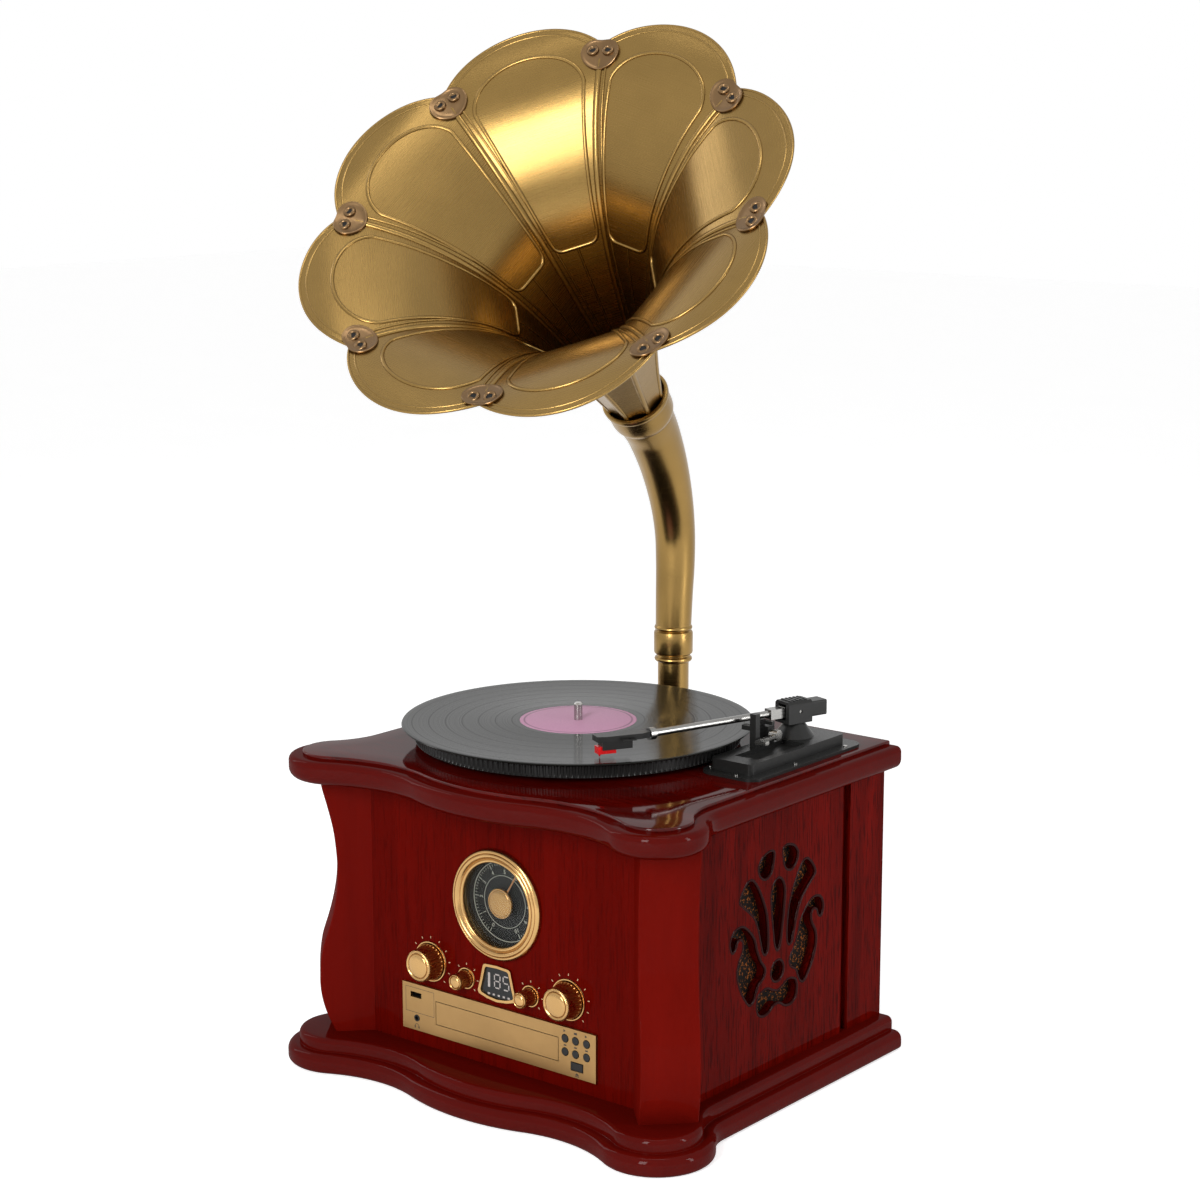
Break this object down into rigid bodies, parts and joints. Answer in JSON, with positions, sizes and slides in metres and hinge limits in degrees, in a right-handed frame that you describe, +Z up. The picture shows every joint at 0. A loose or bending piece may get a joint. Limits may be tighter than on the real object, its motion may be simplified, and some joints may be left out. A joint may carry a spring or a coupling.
{
  "type": "record player",
  "caption": "Wooden cabinet record player with a serpentine top and plinth, a petal horn on a rear neck, tuning dial, knobs and a disc drawer.",
  "frame": {"origin": "on the underside of the base, midway between the cabinet sides and midway between its front and rear panels", "axes": "+Z up, the front with the dial faces -Y, +X to the right of someone facing the front"},
  "size_m": [0.438, 0.4276, 0.8754],
  "materials": {
    "red_lacquer": "gloss lacquer",
    "plain_board": "raw",
    "grille_cloth": "woven",
    "speaker_parts": "matt",
    "antique_brass": "brushed",
    "copper_brass": "satin",
    "gold_fascia": "satin gold anodised",
    "knob_gold": "satin",
    "black_plastic": "satin",
    "gloss_black": "gloss",
    "dial_black": "printed",
    "clear_lens": "clear",
    "steel": "brushed",
    "silver_tube": "satin",
    "record_vinyl": "gloss",
    "mat_rubber": "matt",
    "circuit_board": "satin",
    "stylus_red": "gloss"
  },
  "bodies": {
    "cabinet": {"base_plinth": "red_lacquer", "bottom_board": "plain_board", "top_board": "red_lacquer", "corner_post_right": "red_lacquer", "corner_post_left": "red_lacquer", "front_panel": "red_lacquer", "side_panel_right": "red_lacquer", "side_panel_left": "red_lacquer", "grille_cloths": "grille_cloth", "speakers": "speaker_parts", "rear_panel": "red_lacquer", "dial_bezel": "gold_fascia", "dial_face": "dial_black", "dial_lens": "clear_lens", "knob_rings": "knob_gold", "control_board": "circuit_board", "display_frame": "gold_fascia", "display_window": "gloss_black", "cd_fascia": "gold_fascia", "usb_port": "black_plastic", "headphone_jack": "black_plastic", "cd_drive": "steel", "power_transformer": "steel", "rear_connections": "black_plastic", "platter_motor": "steel", "tonearm_base": "black_plastic", "arm_rest": "black_plastic", "cabinet_screws": "steel", "horn_bracket": "antique_brass"},
    "platter": {"platter": "black_plastic", "spindle": "steel", "platter_mat": "mat_rubber", "vinyl_record": "record_vinyl"},
    "dial_pointer": {"dial_needle": "knob_gold"},
    "volume": {"volume_knob": "knob_gold"},
    "tuning": {"tuning_knob": "knob_gold"},
    "tone": {"tone_knob": "knob_gold"},
    "function": {"function_knob": "knob_gold"},
    "eject": {"button_eject": "black_plastic"},
    "tray": {"cd_tray": "gold_fascia"},
    "cue_lift": {"cue_lift": "black_plastic"},
    "cue_lever": {"cue_lever": "steel"},
    "turret": {"arm_turret": "black_plastic"},
    "arm": {"arm_tube": "silver_tube", "counterweight": "black_plastic", "headshell": "silver_tube", "cartridge": "black_plastic", "stylus": "stylus_red"},
    "horn": {"horn_stem": "antique_brass", "horn_elbow": "antique_brass", "horn_collar": "antique_brass", "horn_bell": "antique_brass", "horn_plates": "copper_brass"},
    "press_1": {"button_1": "black_plastic"},
    "press_2": {"button_2": "black_plastic"},
    "press_3": {"button_3": "black_plastic"},
    "press_4": {"button_4": "black_plastic"},
    "press_5": {"button_5": "black_plastic"},
    "press_6": {"button_6": "black_plastic"}
  },
  "joints": [
    {"name": "platter_spin", "type": "hinge", "parent": "cabinet", "child": "platter", "pos_m": [-0.028, -0.0145, 0.29], "axis": [0, 0, -1], "continuous": true},
    {"name": "volume_turn", "type": "hinge", "parent": "cabinet", "child": "volume", "pos_m": [-0.075, -0.1528, 0.1042], "axis": [0, 1, 0], "range_deg": [0, 300]},
    {"name": "tuning_turn", "type": "hinge", "parent": "cabinet", "child": "tuning", "pos_m": [0.075, -0.1528, 0.1042], "axis": [0, 1, 0], "range_deg": [-450, 270]},
    {"name": "tone_turn", "type": "hinge", "parent": "cabinet", "child": "tone", "pos_m": [-0.035, -0.1528, 0.0983], "axis": [0, 1, 0], "range_deg": [-150, 150]},
    {"name": "function_turn", "type": "hinge", "parent": "cabinet", "child": "function", "pos_m": [0.035, -0.1528, 0.0983], "axis": [0, 1, 0], "range_deg": [-60, 60]},
    {"name": "dial_pointer_turn", "type": "hinge", "parent": "cabinet", "child": "dial_pointer", "pos_m": [0, -0.1528, 0.169], "axis": [0, 1, 0], "range_deg": [-151, 91]},
    {"name": "button_1_press", "type": "slide", "parent": "cabinet", "child": "press_1", "axis": [0, 1, 0], "range_m": [0, 0.0007], "stiffness_N_per_m": 400},
    {"name": "button_2_press", "type": "slide", "parent": "cabinet", "child": "press_2", "axis": [0, 1, 0], "range_m": [0, 0.0007], "stiffness_N_per_m": 400},
    {"name": "button_3_press", "type": "slide", "parent": "cabinet", "child": "press_3", "axis": [0, 1, 0], "range_m": [0, 0.0007], "stiffness_N_per_m": 400},
    {"name": "button_4_press", "type": "slide", "parent": "cabinet", "child": "press_4", "axis": [0, 1, 0], "range_m": [0, 0.0007], "stiffness_N_per_m": 400},
    {"name": "button_5_press", "type": "slide", "parent": "cabinet", "child": "press_5", "axis": [0, 1, 0], "range_m": [0, 0.0007], "stiffness_N_per_m": 400},
    {"name": "button_6_press", "type": "slide", "parent": "cabinet", "child": "press_6", "axis": [0, 1, 0], "range_m": [0, 0.0007], "stiffness_N_per_m": 400},
    {"name": "eject_press", "type": "slide", "parent": "cabinet", "child": "eject", "axis": [0, 1, 0], "range_m": [0, 0.0005], "stiffness_N_per_m": 400},
    {"name": "tray_slide", "type": "slide", "parent": "cabinet", "child": "tray", "axis": [0, -1, 0], "range_m": [0, 0.13]},
    {"name": "cue_lever_turn", "type": "hinge", "parent": "cabinet", "child": "cue_lever", "pos_m": [0.13129, 0.04654, 0.294], "axis": [-1, 0, 0], "range_deg": [0, 60]},
    {"name": "cue_lift_slide", "type": "slide", "parent": "cabinet", "child": "cue_lift", "axis": [0, 0, 1], "range_m": [0, 0.0026]},
    {"name": "tonearm_swing", "type": "hinge", "parent": "cabinet", "child": "turret", "pos_m": [0.1315, 0.079, 0.299], "axis": [0, 0, 1], "range_deg": [-23, 9.5]},
    {"name": "tonearm_lift", "type": "hinge", "parent": "turret", "child": "arm", "pos_m": [0.1315, 0.079, 0.309], "axis": [-0.9548, 0.2974, 0], "range_deg": [0, 5.2]},
    {"name": "horn_swivel", "type": "hinge", "parent": "cabinet", "child": "horn", "pos_m": [-0.069, 0.173, 0.23], "axis": [0, 0, 1], "range_deg": [-90, 90]}
  ],
  "couplings": [
    {"joint": "dial_pointer_turn", "follows": "tuning_turn", "ratio": 0.33333},
    {"joint": "cue_lift_slide", "follows": "cue_lever_turn", "m_per_rad": 0.0023873},
    {"joint": "tonearm_lift", "follows": "cue_lever_turn", "ratio": 0.083333}
  ]
}
